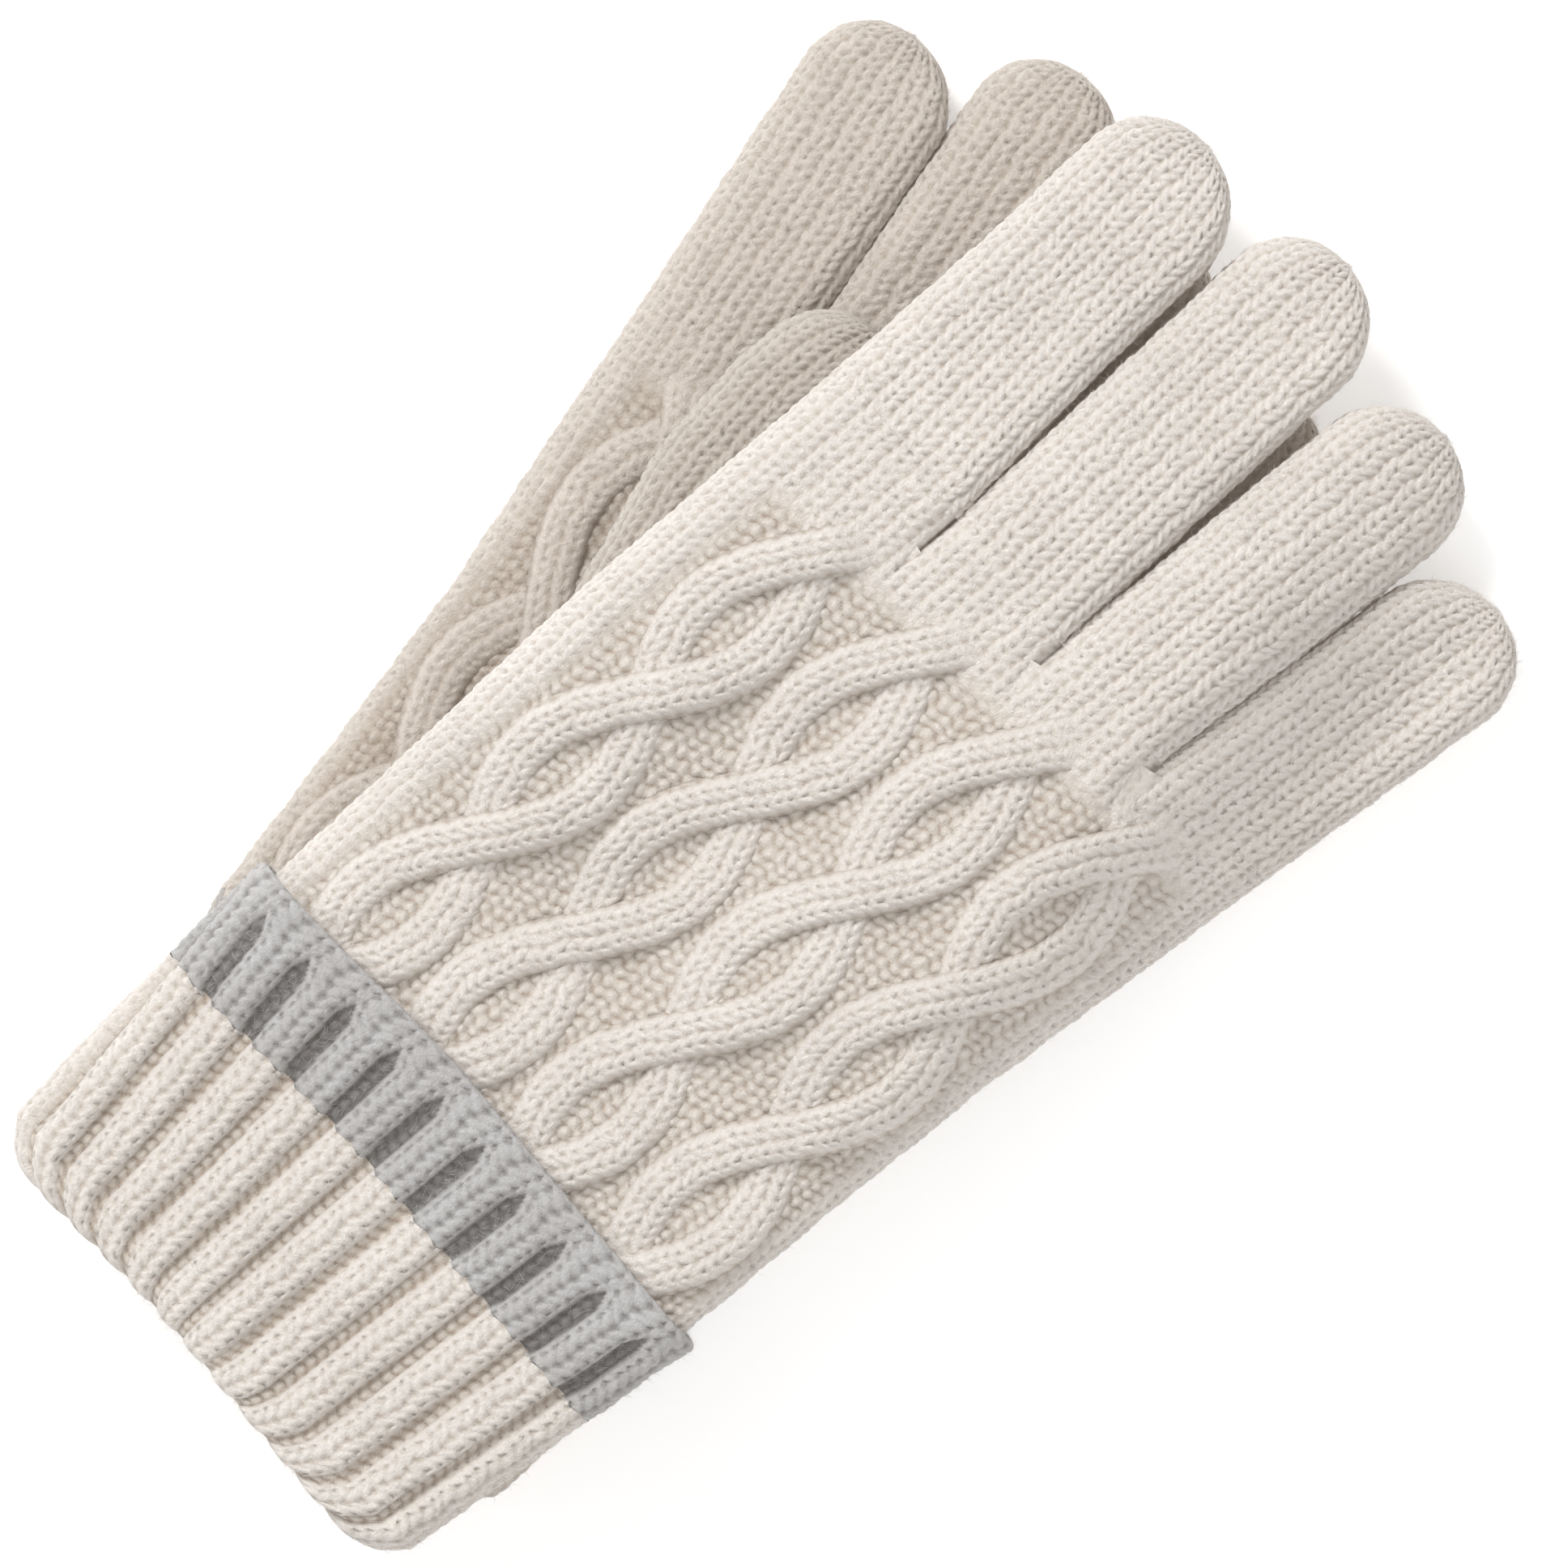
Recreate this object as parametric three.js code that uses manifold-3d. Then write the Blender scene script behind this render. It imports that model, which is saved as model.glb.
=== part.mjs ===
// A pair of cable-knit gloves with full fingers and turned-up cuffs, laid flat.
// The right glove lies on top of the left one, both with the back of the hand up.
// Millimetres, +Z up, +Y from cuff to fingertips of the upper glove.
import * as THREE from 'three';
import { mergeVertices } from 'three/addons/utils/BufferGeometryUtils.js';
import Module from 'manifold-3d';

// ---- driving dimensions ------------------------------------------------------
const WALL = 2.1;                // thickness of one knitted layer
const GAP = 0.3;                 // clearance between touching pieces
const HAND_HALF = 6;             // half thickness of the flat-lying hand
const FINGER_HALF = 5.8;         // half thickness of a finger
const THUMB_HALF = 4.6;          // half thickness of the thumb, pressed by the hand
const CUFF_HALF = HAND_HALF + GAP + WALL;      // half thickness over the turned-up cuff
const STRIPE_PROUD = 0.3;        // the free edge stands out a little
const FOLD_HEIGHT = 2.4;         // depth of the folded lip at the wrist end
const STRIPE_START = 40.5;       // where the striped band begins
const CUFF_TOP = 61.2;           // free edge of the turned-up cuff
const RIB_TOP = 57;              // end of the inner rib, start of the hand
const CROTCH = 177;              // line where the four fingers leave the hand
const UPPER_FOLD = 0;            // folded edge of the upper glove
const LOWER_FOLD = 9.5;          // the lower cuff is turned up further

// Half lengths of the flat part of the section: [distance from fold, thumb side, other side].
const FLATS = [
  [0, 33.5, 33.3],
  [6, 37.6, 37.2],
  [61, 42.9, 41.5],
  [121, 46, 42.5],
  [177, 46.8, 46.6],
];

// Fingers: base and middle centre lines, half widths, and fingertip distance.
const FINGERS = {
  index_finger: { base: [-37.8, 14.8], mid: [-40.2, 13.4], tip: 245.4 },
  middle_finger: { base: [-9.9, 12.6], mid: [-11.7, 12.7], tip: 250.3 },
  ring_finger: { base: [15.2, 12.0], mid: [16.2, 12.6], tip: 244.9 },
  little_finger: { base: [40.0, 12.4], mid: [42.4, 12.5], tip: 234.2 },
};
const FINGER_MID = 212;          // distance at which the middle widths are given
const TIP_ROUND = 12;            // length over which a fingertip rounds off
const TIP_ROWS = [0.45, 0.75, 0.93];           // where a fingertip's rounding is sampled
const TIP_CORE = 0.6;            // smallest half thickness inside a fingertip
// The lower glove's hidden fingers are drawn back under the upper glove's fingertips.
const DRAWN_BACK = {
  index_finger: { ...FINGERS.index_finger, mid: [-38.2, 13.4], tip: 235 },
  middle_finger: { ...FINGERS.middle_finger, mid: [-9.7, 12.7], tip: 240 },
};

// Thumb: it lies under the edge of the hand.
const THUMB = { start: 119, tip: 186, base: [-41, 11], mid: [-52.4, 11.6], midAt: 160 };
const THUMB_BEND_END = 1.05;     // past this share of the way to midAt it runs straight
const THUMB_CLEAR = 2 * THUMB_HALF + 1.0;      // how far the hand lifts over the thumb
const THUMB_COVER = { side: [-34, 4], rise: [72, 106], fall: [190, 226] };   // where it lifts
const CUFF_SHOULDER = [64, 90];  // the hand comes down from the thick cuff between these
const THUMB_SLOT = { x: [-50, -34], y: [96, 117] };   // opening from the hand into the thumb

// The lower glove is a mirror image, turned about a point inside the cuff.
const LOWER_TURN = 12 * Math.PI / 180;
const LOWER_PIVOT = [2, 19];
const STACK_CLEAR = 1.0;         // clearance between the two gloves
const DROOP = [50, 86];          // across the lower glove: where the upper one falls to the floor

// Steps around a section, and the share of each quarter given to its straight run.
const BODY_SECTION = { segments: 28, runShare: 5 / 7 };
const DIGIT_SECTION = { segments: 16, runShare: 1 / 2 };
const HAND_STEPS = 11;
const HAND_LEAD = 2;             // the hand's first row ends this far past the cuff
const RIB_STEPS = 4;
const CUFF_STEPS = 3;
const STRIPE_STEPS = 2;
const FINGER_STEPS = 4;
const SLOT_STEPS = [4, 6];
const LIP_BEVEL = 1.2;           // outer edge of the folded lip
const MOUTH_BEVEL = 1.0;         // inner edge of the folded lip

const CREAM = { color: 0xe2dad1, roughness: 0.95, metalness: 0 };
const RIB_CREAM = { color: 0xdfd6cc, roughness: 0.96, metalness: 0 };
const GREY = { color: 0xb4b3b2, roughness: 0.95, metalness: 0 };

// ---- small helpers -----------------------------------------------------------
function ease(a, b, t) {
  const k = Math.min(1, Math.max(0, (t - a) / (b - a)));
  return k * k * (3 - 2 * k);
}

function flatHalf(y, thumbSide) {
  const column = thumbSide ? 1 : 2;
  const last = FLATS[FLATS.length - 1];
  if (y >= last[0]) {
    return last[column];
  }
  const next = FLATS.findIndex((row) => row[0] > Math.max(y, 0));
  const a = FLATS[next - 1];
  const b = FLATS[next];
  const t = Math.max(0, (y - a[0]) / (b[0] - a[0]));
  return a[column] + (b[column] - a[column]) * t;
}

// How far a glove's own fabric lifts: over its thumb, and beside its thick cuff.
function overThumb(x, y) {
  const { side, rise, fall } = THUMB_COVER;
  return THUMB_CLEAR * (1 - ease(...side, x)) * ease(...rise, y) * (1 - ease(...fall, y));
}

function besideCuff(y) {
  return (CUFF_HALF - HAND_HALF) * (1 - ease(...CUFF_SHOULDER, y));
}

// Position of a point of the pair in the lower glove's own, mirrored frame.
function inLowerFrame(x, y) {
  const c = Math.cos(LOWER_TURN);
  const s = Math.sin(LOWER_TURN);
  const dx = x - LOWER_PIVOT[0];
  const dy = y - LOWER_PIVOT[1];
  const across = dx * c + dy * s;
  const along = LOWER_PIVOT[1] - dx * s + dy * c;
  return [-across, along];
}

// Height of the surface that the upper glove lies on.
function restHeight(x, y) {
  const [u, v] = inLowerFrame(x, y);
  const thick = 2 * HAND_HALF + 2 * besideCuff(v);
  const top = thick + overThumb(u, v) + STACK_CLEAR;
  return top * (1 - ease(DROOP[0], DROOP[1], -u));
}

// ---- section mapping ---------------------------------------------------------
// A lathe's circle becomes a flat section: two half circles joined by straight runs.
function sectionPoint(angle, runShare) {
  const turn = ((angle / (Math.PI / 2)) % 4 + 4) % 4;
  const quarter = Math.min(3, Math.floor(turn + 1e-9));
  const f = turn - quarter;
  const fromFlat = quarter % 2 === 0 ? f : 1 - f;
  const side = quarter < 2 ? 1 : -1;
  const run = Math.min(1, fromFlat / runShare);
  const bend = Math.max(0, (fromFlat - runShare) / (1 - runShare)) * Math.PI / 2;
  const up = quarter === 0 || quarter === 3 ? 1 : -1;
  return { run: side * run, nx: side * Math.sin(bend), nz: up * Math.cos(bend) };
}

// profile: points (half thickness, y). flat(y, side) and centre(y) shape the section.
function sheath(section, profile, flat, centre, lift) {
  const points = profile.map(([r, y]) => new THREE.Vector2(r, y));
  const geometry = new THREE.LatheGeometry(points, section.segments);
  const position = geometry.attributes.position;
  for (let i = 0; i < position.count; i += 1) {
    const y = position.getY(i);
    const ringIndex = Math.floor(i / points.length);
    const angle = (ringIndex / section.segments) * 2 * Math.PI;
    const r = points[i % points.length].x;
    const s = sectionPoint(angle, section.runShare);
    const x = centre(y) + s.run * flat(y, s.run < 0) + r * s.nx;
    position.setXYZ(i, x, y, r * s.nz + lift(x, y));
  }
  geometry.computeVertexNormals();
  return geometry;
}

function along(from, to, steps) {
  return Array.from({ length: steps + 1 }, (unused, i) => from + (to - from) * i / steps);
}

// A tube open at both ends.
function tubeProfile(half, ys) {
  const outer = ys.map((y) => [half, y]);
  const inner = ys.slice().reverse().map((y) => [half - WALL, y]);
  return [...outer, ...inner, outer[0]];
}

// ---- manifold bridge ---------------------------------------------------------
const wasm = await Module();
wasm.setup();

function toSolid(geometry) {
  const bare = geometry.clone();
  bare.deleteAttribute('normal');
  bare.deleteAttribute('uv');
  const merged = mergeVertices(bare, 1e-4);
  const vertProperties = new Float32Array(merged.attributes.position.array);
  const triVerts = new Uint32Array(cleanTriangles(merged.index.array));
  return new wasm.Manifold(new wasm.Mesh({ numProp: 3, vertProperties, triVerts }));
}

function cleanTriangles(index) {
  const kept = [];
  for (let i = 0; i < index.length; i += 3) {
    const [a, b, c] = [index[i], index[i + 1], index[i + 2]];
    if (a !== b && b !== c && a !== c) {
      kept.push(a, b, c);
    }
  }
  return kept;
}

function toGeometry(solid) {
  const mesh = solid.getMesh();
  const geometry = new THREE.BufferGeometry();
  geometry.setAttribute('position', new THREE.BufferAttribute(mesh.vertProperties, 3));
  geometry.setIndex(new THREE.BufferAttribute(mesh.triVerts, 1));
  geometry.computeVertexNormals();
  return geometry;
}

// ---- the sub-parts -----------------------------------------------------------
function handGeometry(lift) {
  const ys = [RIB_TOP + GAP, ...along(CUFF_TOP + HAND_LEAD, CROTCH - GAP, HAND_STEPS)];
  const profile = tubeProfile(HAND_HALF, ys);
  const whole = toSolid(sheath(BODY_SECTION, profile, flatHalf, () => 0, lift));
  const [x0, x1] = THUMB_SLOT.x;
  const [y0, y1] = THUMB_SLOT.y;
  const depth = 2 * HAND_HALF;
  const cutter = new THREE.BoxGeometry(x1 - x0, y1 - y0, depth, ...SLOT_STEPS, 1);
  cutter.translate((x0 + x1) / 2, (y0 + y1) / 2, -depth / 2 - 1);
  const position = cutter.attributes.position;
  for (let i = 0; i < position.count; i += 1) {
    position.setZ(i, position.getZ(i) + lift(position.getX(i), position.getY(i)));
  }
  return toGeometry(whole.subtract(toSolid(cutter)));
}

function wristRibGeometry(fold, lift) {
  const profile = tubeProfile(HAND_HALF, along(fold + FOLD_HEIGHT + GAP, RIB_TOP, RIB_STEPS));
  return sheath(BODY_SECTION, profile, flatHalf, () => 0, lift);
}

function turnedCuffGeometry(fold, lift) {
  const layerInside = CUFF_HALF - WALL;
  const cavity = HAND_HALF - WALL;
  const ys = along(fold + FOLD_HEIGHT, STRIPE_START, CUFF_STEPS);
  const profile = [
    [CUFF_HALF - LIP_BEVEL, fold],
    [CUFF_HALF, fold + LIP_BEVEL],
    ...ys.map((y) => [CUFF_HALF, y]),
    ...ys.slice().reverse().map((y) => [layerInside, y]),
    [cavity, fold + FOLD_HEIGHT],
    [cavity, fold + MOUTH_BEVEL],
    [cavity + MOUTH_BEVEL, fold],
    [CUFF_HALF - LIP_BEVEL, fold],
  ];
  return sheath(BODY_SECTION, profile, flatHalf, () => 0, lift);
}

function stripeGeometry(lift) {
  const half = CUFF_HALF + STRIPE_PROUD;
  const ys = along(STRIPE_START + GAP, CUFF_TOP, STRIPE_STEPS);
  const profile = [
    ...ys.map((y) => [half, y]),
    ...ys.slice().reverse().map((y) => [CUFF_HALF - WALL, y]),
    [half, ys[0]],
  ];
  return sheath(BODY_SECTION, profile, flatHalf, () => 0, lift);
}

// A closed-end sheath: half width follows the base and middle widths, then rounds off.
function digitGeometry(dims, from, half, midAt, bendEnd, lift) {
  const { base, mid, tip } = dims;
  const slope = (y) => (y - from) / (midAt - from);
  const centre = (y) => base[0] + (mid[0] - base[0]) * Math.min(bendEnd, slope(y));
  const bodyWidth = (y) => base[1] + (mid[1] - base[1]) * Math.min(1, slope(y));
  const width = (y) => {
    const t = Math.max(0, (y - (tip - TIP_ROUND)) / TIP_ROUND);
    return bodyWidth(y) * Math.sqrt(Math.max(0, 1 - t * t));
  };
  const flat = (y) => Math.max(0, width(y) - half);
  const shaft = along(from, tip - TIP_ROUND, FINGER_STEPS);
  const round = TIP_ROWS.map((t) => tip - TIP_ROUND + t * TIP_ROUND);
  const outerYs = [...shaft, ...round];
  const innerYs = outerYs.filter((y) => y < tip - WALL - TIP_CORE);
  const outer = outerYs.map((y) => [Math.min(half, width(y)), y]);
  const inner = innerYs.map((y) => [Math.max(TIP_CORE, Math.min(half, width(y)) - WALL), y]);
  const profile = [[0, tip - WALL], ...inner.reverse(), ...outer, [0, tip]];
  return sheath(DIGIT_SECTION, profile, flat, centre, lift);
}

function addMesh(group, name, geometry, look) {
  const mesh = new THREE.Mesh(geometry, new THREE.MeshStandardMaterial(look));
  mesh.name = name;
  group.add(mesh);
}

// One glove in its own frame; rest(x, y) is the height of what it lies on.
function buildGlove(prefix, fold, fingers, rest) {
  const group = new THREE.Group();
  const handLift = (x, y) => HAND_HALF + rest(x, y) + overThumb(x, y) + besideCuff(y);
  const cuffLift = (x, y) => CUFF_HALF + STRIPE_PROUD + rest(x, y) + overThumb(x, y);
  const thumbLift = (x, y) => THUMB_HALF + rest(x, y);
  const startLift = (x, y) => handLift(x, y) + STRIPE_PROUD * (1 - ease(...CUFF_SHOULDER, y));
  addMesh(group, `${prefix}_hand`, handGeometry(startLift), CREAM);
  addMesh(group, `${prefix}_wrist_rib`, wristRibGeometry(fold, cuffLift), RIB_CREAM);
  addMesh(group, `${prefix}_turned_up_cuff`, turnedCuffGeometry(fold, cuffLift), RIB_CREAM);
  addMesh(group, `${prefix}_cuff_stripe`, stripeGeometry(cuffLift), GREY);
  for (const [name, dims] of Object.entries(fingers)) {
    const geometry = digitGeometry(dims, CROTCH, FINGER_HALF, FINGER_MID, Infinity, handLift);
    addMesh(group, `${prefix}_${name}`, geometry, CREAM);
  }
  const { start, midAt } = THUMB;
  const thumb = digitGeometry(THUMB, start, THUMB_HALF, midAt, THUMB_BEND_END, thumbLift);
  addMesh(group, `${prefix}_thumb`, thumb, CREAM);
  return group;
}

// ---- the pair ----------------------------------------------------------------
const pair = new THREE.Group();

const lower = buildGlove('left', LOWER_FOLD, { ...FINGERS, ...DRAWN_BACK }, () => 0);
lower.scale.x = -1;
lower.position.set(0, -LOWER_PIVOT[1], 0);
const lowerTurn = new THREE.Group();
lowerTurn.add(lower);
lowerTurn.rotation.z = LOWER_TURN;
lowerTurn.position.set(LOWER_PIVOT[0], LOWER_PIVOT[1], 0);

const upper = buildGlove('right', UPPER_FOLD, FINGERS, restHeight);
pair.add(lowerTurn, upper);

// Put the middle of the footprint over the origin, with the lowest point at z = 0.
pair.updateMatrixWorld(true);
const box = new THREE.Box3().setFromObject(pair, true);
pair.position.set(-(box.min.x + box.max.x) / 2, -(box.min.y + box.max.y) / 2, -box.min.z);

export default pair;
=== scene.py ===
"""A pair of cable-knit gloves with turned-up striped cuffs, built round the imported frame.

Lengths are in millimetres in each glove's own frame (+Y from the folded cuff to the
fingertips, -X towards the thumb, +Z out of the back of the hand) until place() turns
them into metres in the row frame. Every stitch is real geometry.
"""
import math

import bpy
import numpy as np
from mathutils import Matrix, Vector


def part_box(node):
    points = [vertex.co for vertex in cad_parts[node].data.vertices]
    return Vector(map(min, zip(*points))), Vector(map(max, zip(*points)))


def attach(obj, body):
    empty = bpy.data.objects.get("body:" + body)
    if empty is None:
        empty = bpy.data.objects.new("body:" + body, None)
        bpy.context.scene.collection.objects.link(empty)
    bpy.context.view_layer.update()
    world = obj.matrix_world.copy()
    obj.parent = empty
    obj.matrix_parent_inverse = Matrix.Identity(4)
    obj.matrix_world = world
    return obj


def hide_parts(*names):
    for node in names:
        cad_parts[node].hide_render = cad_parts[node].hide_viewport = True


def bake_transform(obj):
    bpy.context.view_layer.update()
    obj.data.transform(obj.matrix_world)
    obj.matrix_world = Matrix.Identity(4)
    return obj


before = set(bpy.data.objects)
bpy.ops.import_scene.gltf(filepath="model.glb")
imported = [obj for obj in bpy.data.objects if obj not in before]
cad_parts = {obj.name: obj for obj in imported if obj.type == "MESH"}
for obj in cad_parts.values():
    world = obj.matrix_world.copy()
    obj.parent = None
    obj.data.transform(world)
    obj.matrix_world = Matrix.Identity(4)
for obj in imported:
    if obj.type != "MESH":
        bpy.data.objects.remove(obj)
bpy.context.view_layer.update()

# ---- sizes shared with the CAD model -------------------------------------------
HAND_HALF = 6.0
FINGER_HALF = 5.8
THUMB_HALF = 4.6
CUFF_HALF = 8.4
LINING_HALF = 4.2
PROUD = 0.3
CROTCH = 177.0
STRIPE_START = 40.5
CUFF_TOP = 61.2
FOLD = {"right": 0.0, "left": 9.5}
TURN = math.radians(12.0)
PIVOT_X, PIVOT_Y = 2.0, 19.0
STACK_CLEAR = 1.0
DROOP = (50.0, 86.0)
FLOOR_TOUCH = 0.05
SQUARE = 0.7                    # below 1 fills out the rounded edges of the flat tubes
FLAT_V = [0.0, 6.0, 61.0, 121.0, 177.0]
FLAT_THUMB = [33.5, 37.6, 42.9, 46.0, 46.8]
FLAT_OTHER = [33.3, 37.2, 41.5, 42.5, 46.6]
# base centre, base half width, middle centre, middle half width, fingertip
FINGERS = {
    "index": (-37.8, 14.9, -40.2, 13.6, 245.4),
    "middle": (-9.9, 12.75, -11.7, 12.9, 250.3),
    "ring": (15.2, 12.2, 16.2, 12.8, 244.9),
    "little": (40.0, 12.6, 42.4, 12.7, 234.2),
}
LOWER_FINGERS = {               # the lower glove: two hidden fingers are drawn back
    "index": (-37.8, 14.9, -38.2, 13.6, 227.5),
    "middle": (-9.9, 12.75, -9.7, 12.9, 236.5),
    "ring": (15.2, 12.2, 17.2, 12.6, 247.5),
    "little": (40.0, 12.6, 42.6, 12.7, 235.8),
}
FINGER_MID = 212.0
THUMB_COVER_X = (-34, 4)        # where the hand comes down beside the tucked thumb
THUMB_COVER_IN = (72, 106)      # where it rises over the thumb, and comes down again
THUMB_COVER_OUT = (190, 226)
THUMB_CLEAR = 1.0
CUFF_SHOULDER = (64, 90)        # where the cuff's thickness runs out into the hand's

# ---- knitting -------------------------------------------------------------------
WALE = 4.1
COURSE = 2.15
HAND_WALES = 27.0               # columns from the top centre to the palm centre
RIDGES = 11.0                   # rib ridges from the top centre to the palm centre
RELIEF = 0.75                   # height of a knit stitch
SINK = 0.3                      # how far the knit face is let into its surface
PLUMP = (0.75, 0.5)             # least share of a stitch's height, and how much it may vary
GRAIN = 0.33                    # spacing of the mesh on fingers and thumbs
COARSE = 0.62                   # the same on their undersides
FINE = {"right": 1.0, "left": 1.25}     # the lower glove is sampled more coarsely
RNG = np.random.default_rng(7)

# the row frame's origin is in the middle of the pair: these lead there from the glove frame
STRIPE_EDGE_X = 51.6
OFF_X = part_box("right_cuff_stripe")[0][0] * 1000 + STRIPE_EDGE_X
OFF_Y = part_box("right_turned_up_cuff")[0][1] * 1000


def ease(a, b, t):
    k = np.clip((t - a) / (b - a), 0.0, 1.0)
    return k * k * (3 - 2 * k)


def lerp(a, b, t):
    return a + (b - a) * t


# ---- how the pair lies ----------------------------------------------------------
def over_thumb(x, y):
    along = ease(*THUMB_COVER_IN, y) * (1 - ease(*THUMB_COVER_OUT, y))
    return (2 * THUMB_HALF + THUMB_CLEAR) * (1 - ease(*THUMB_COVER_X, x)) * along


def beside_cuff(y):
    return (CUFF_HALF - HAND_HALF) * (1 - ease(*CUFF_SHOULDER, y))


def rest_height(x, y):
    c, s = math.cos(TURN), math.sin(TURN)
    dx, dy = x - PIVOT_X, y - PIVOT_Y
    u = -(dx * c + dy * s)
    v = PIVOT_Y - dx * s + dy * c
    top = 2 * HAND_HALF + 2 * beside_cuff(v) + over_thumb(u, v) + STACK_CLEAR
    return top * (1 - ease(DROOP[0], DROOP[1], -u))


def rest_under(side, x, y):
    return rest_height(x, y) if side == "right" else 0.0 * x


def hand_lift(side, x, y):
    return (HAND_HALF + rest_under(side, x, y) + over_thumb(x, y) + beside_cuff(y)
            + PROUD * (1 - ease(*CUFF_SHOULDER, y)))


def cuff_lift(side, x, y):
    return CUFF_HALF + PROUD + rest_under(side, x, y) + over_thumb(x, y)


def thumb_lift(side, x, y):
    return THUMB_HALF + rest_under(side, x, y)


def place(side, points):
    """Glove frame in mm to the row frame in metres."""
    x, y, z = points[..., 0], points[..., 1], points[..., 2]
    if side == "left":
        c, s = math.cos(TURN), math.sin(TURN)
        mx, dy = -x, y - PIVOT_Y
        x, y = PIVOT_X + mx * c - dy * s, PIVOT_Y + mx * s + dy * c
    return np.stack([x + OFF_X, y + OFF_Y, np.maximum(z, FLOOR_TOUCH)], -1) / 1000.0


# ---- sections -------------------------------------------------------------------
def ring(t, flat, half, square=1.0):
    """Point and normal at signed distance t round a flat tube, from its top centre."""
    sign, a = np.sign(t), np.abs(t)
    half = np.maximum(half, 1e-3)
    turn = np.clip((a - flat) / half, 0, math.pi)
    run = np.minimum(a, flat) - np.maximum(0, a - flat - math.pi * half)
    nx, nz = sign * np.sin(turn), np.cos(turn)
    return sign * run + half * nx, half * np.sign(nz) * np.abs(nz) ** square, nx, nz


def flat_half(y, tau):
    return np.where(tau < 0, np.interp(y, FLAT_V, FLAT_THUMB), np.interp(y, FLAT_V, FLAT_OTHER))


# ---- stitch tiles ---------------------------------------------------------------
TILE = 64


def ellipsoid_tile(bumps):
    """Periodic height tile: bumps are (x, y, tilt, half width, half length, height, slope)."""
    gx, gy = np.meshgrid((np.arange(TILE) + 0.5) / TILE, (np.arange(TILE) + 0.5) / TILE)
    best = np.zeros((TILE, TILE))
    for cx, cy, tilt, rp, rq, height, slope in bumps:
        for ix in (-1, 0, 1):
            for iy in range(-3, 4):
                dx, dy = (gx - cx - ix) * WALE, (gy - cy - iy) * COURSE
                p = dx * math.cos(tilt) - dy * math.sin(tilt)
                q = dx * math.sin(tilt) + dy * math.cos(tilt)
                body = 1 - (p / rp) ** 2 - (q / rq) ** 2
                lifted = height * np.sqrt(np.clip(body, 0, 1)) + slope * q
                best = np.maximum(best, np.where(body > 0, lifted, 0))
    return best


LEAN = math.radians(27)
LEG = (0.68, 2.25, 1.0, -0.15)   # half width, half length, height, slope along the leg
KNIT = ellipsoid_tile([(0.25, 0.5, -LEAN, *LEG), (0.75, 0.5, LEAN, *LEG)])


def purl_tile():
    """Each course of the purl side shows as one wavy strand."""
    gx, gy = np.meshgrid((np.arange(TILE) + 0.5) / TILE, (np.arange(TILE) + 0.5) / TILE)
    best = np.zeros((TILE, TILE))
    for row in (-1, 0, 1, 2):
        dy = (gy - row - 0.24 * np.cos(2 * math.pi * gx)) * COURSE
        swell = 0.72 + 0.28 * np.cos(4 * math.pi * gx)
        best = np.maximum(best, np.clip(1 - (dy / 1.15) ** 2, 0, 1) ** 0.8 * swell)
    return best


PURL = purl_tile()


def sample(tile, a, b):
    """Bilinear, periodic look-up at wale a and course b."""
    fx, fy = np.mod(a, 1.0) * TILE - 0.5, np.mod(b, 1.0) * TILE - 0.5
    x0, y0 = np.floor(fx).astype(int), np.floor(fy).astype(int)
    tx, ty = fx - x0, fy - y0
    x0, y0, x1, y1 = x0 % TILE, y0 % TILE, (x0 + 1) % TILE, (y0 + 1) % TILE
    low_row = lerp(tile[y0, x0], tile[y0, x1], tx)
    return lerp(low_row, lerp(tile[y1, x0], tile[y1, x1], tx), ty)


WAVES = RNG.uniform(-1, 1, (10, 4))
VARIETY = RNG.uniform(0, 1, (TILE, TILE))


def wobble(a, b):
    """Uneven hand of the knitting: small shifts of wale and course."""
    da, db = 0.0 * a, 0.0 * b
    for ka, kb, pa, pb in WAVES:
        da = da + np.sin(2.4 * (ka * a + kb * b) + 9 * pa)
        db = db + np.sin(2.4 * (ka * a - kb * b) + 9 * pb)
    return a + 0.022 * da, b + 0.05 * db


def uneven(a, b):
    """0 to 1, different for every leg of every stitch."""
    return sample(VARIETY, a / 32, b / TILE)


def stitches(a, b):
    """Knit face: every leg has its own plumpness."""
    return sample(KNIT, a, b) * (PLUMP[0] + PLUMP[1] * uneven(a, b))


def stitch_shade(knit, a, b):
    """Painted shade, darker at the heart of each V and between neighbouring columns."""
    across = np.abs(np.mod(2 * a + 0.5, 1.0) - 0.5) * WALE / 2
    stagger = np.where(np.mod(a + 0.25, 1.0) < 0.5, 0.0, 0.5)
    along = np.abs(np.mod(b + stagger + 0.25, 1.0) - 0.5) * COURSE
    spot = np.exp(-(across / 0.42) ** 2 - (along / 0.55) ** 2)
    return np.clip((0.45 + 0.6 * knit) * (1 - 0.75 * spot), 0, 1)


# ---- meshes ---------------------------------------------------------------------
FIBRE_LENGTH = (0.0007, 0.0024)
FIBRE_WIDTH = 0.00005
FIBRE_RISE = (0.0001, 0.0007)
HAIRS = {"hand": 6500, "cable": 2600, "finger": 4500, "thumb": 3500, "cuff": 9000,
         "stripe": 5000}        # on the upper glove


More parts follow.
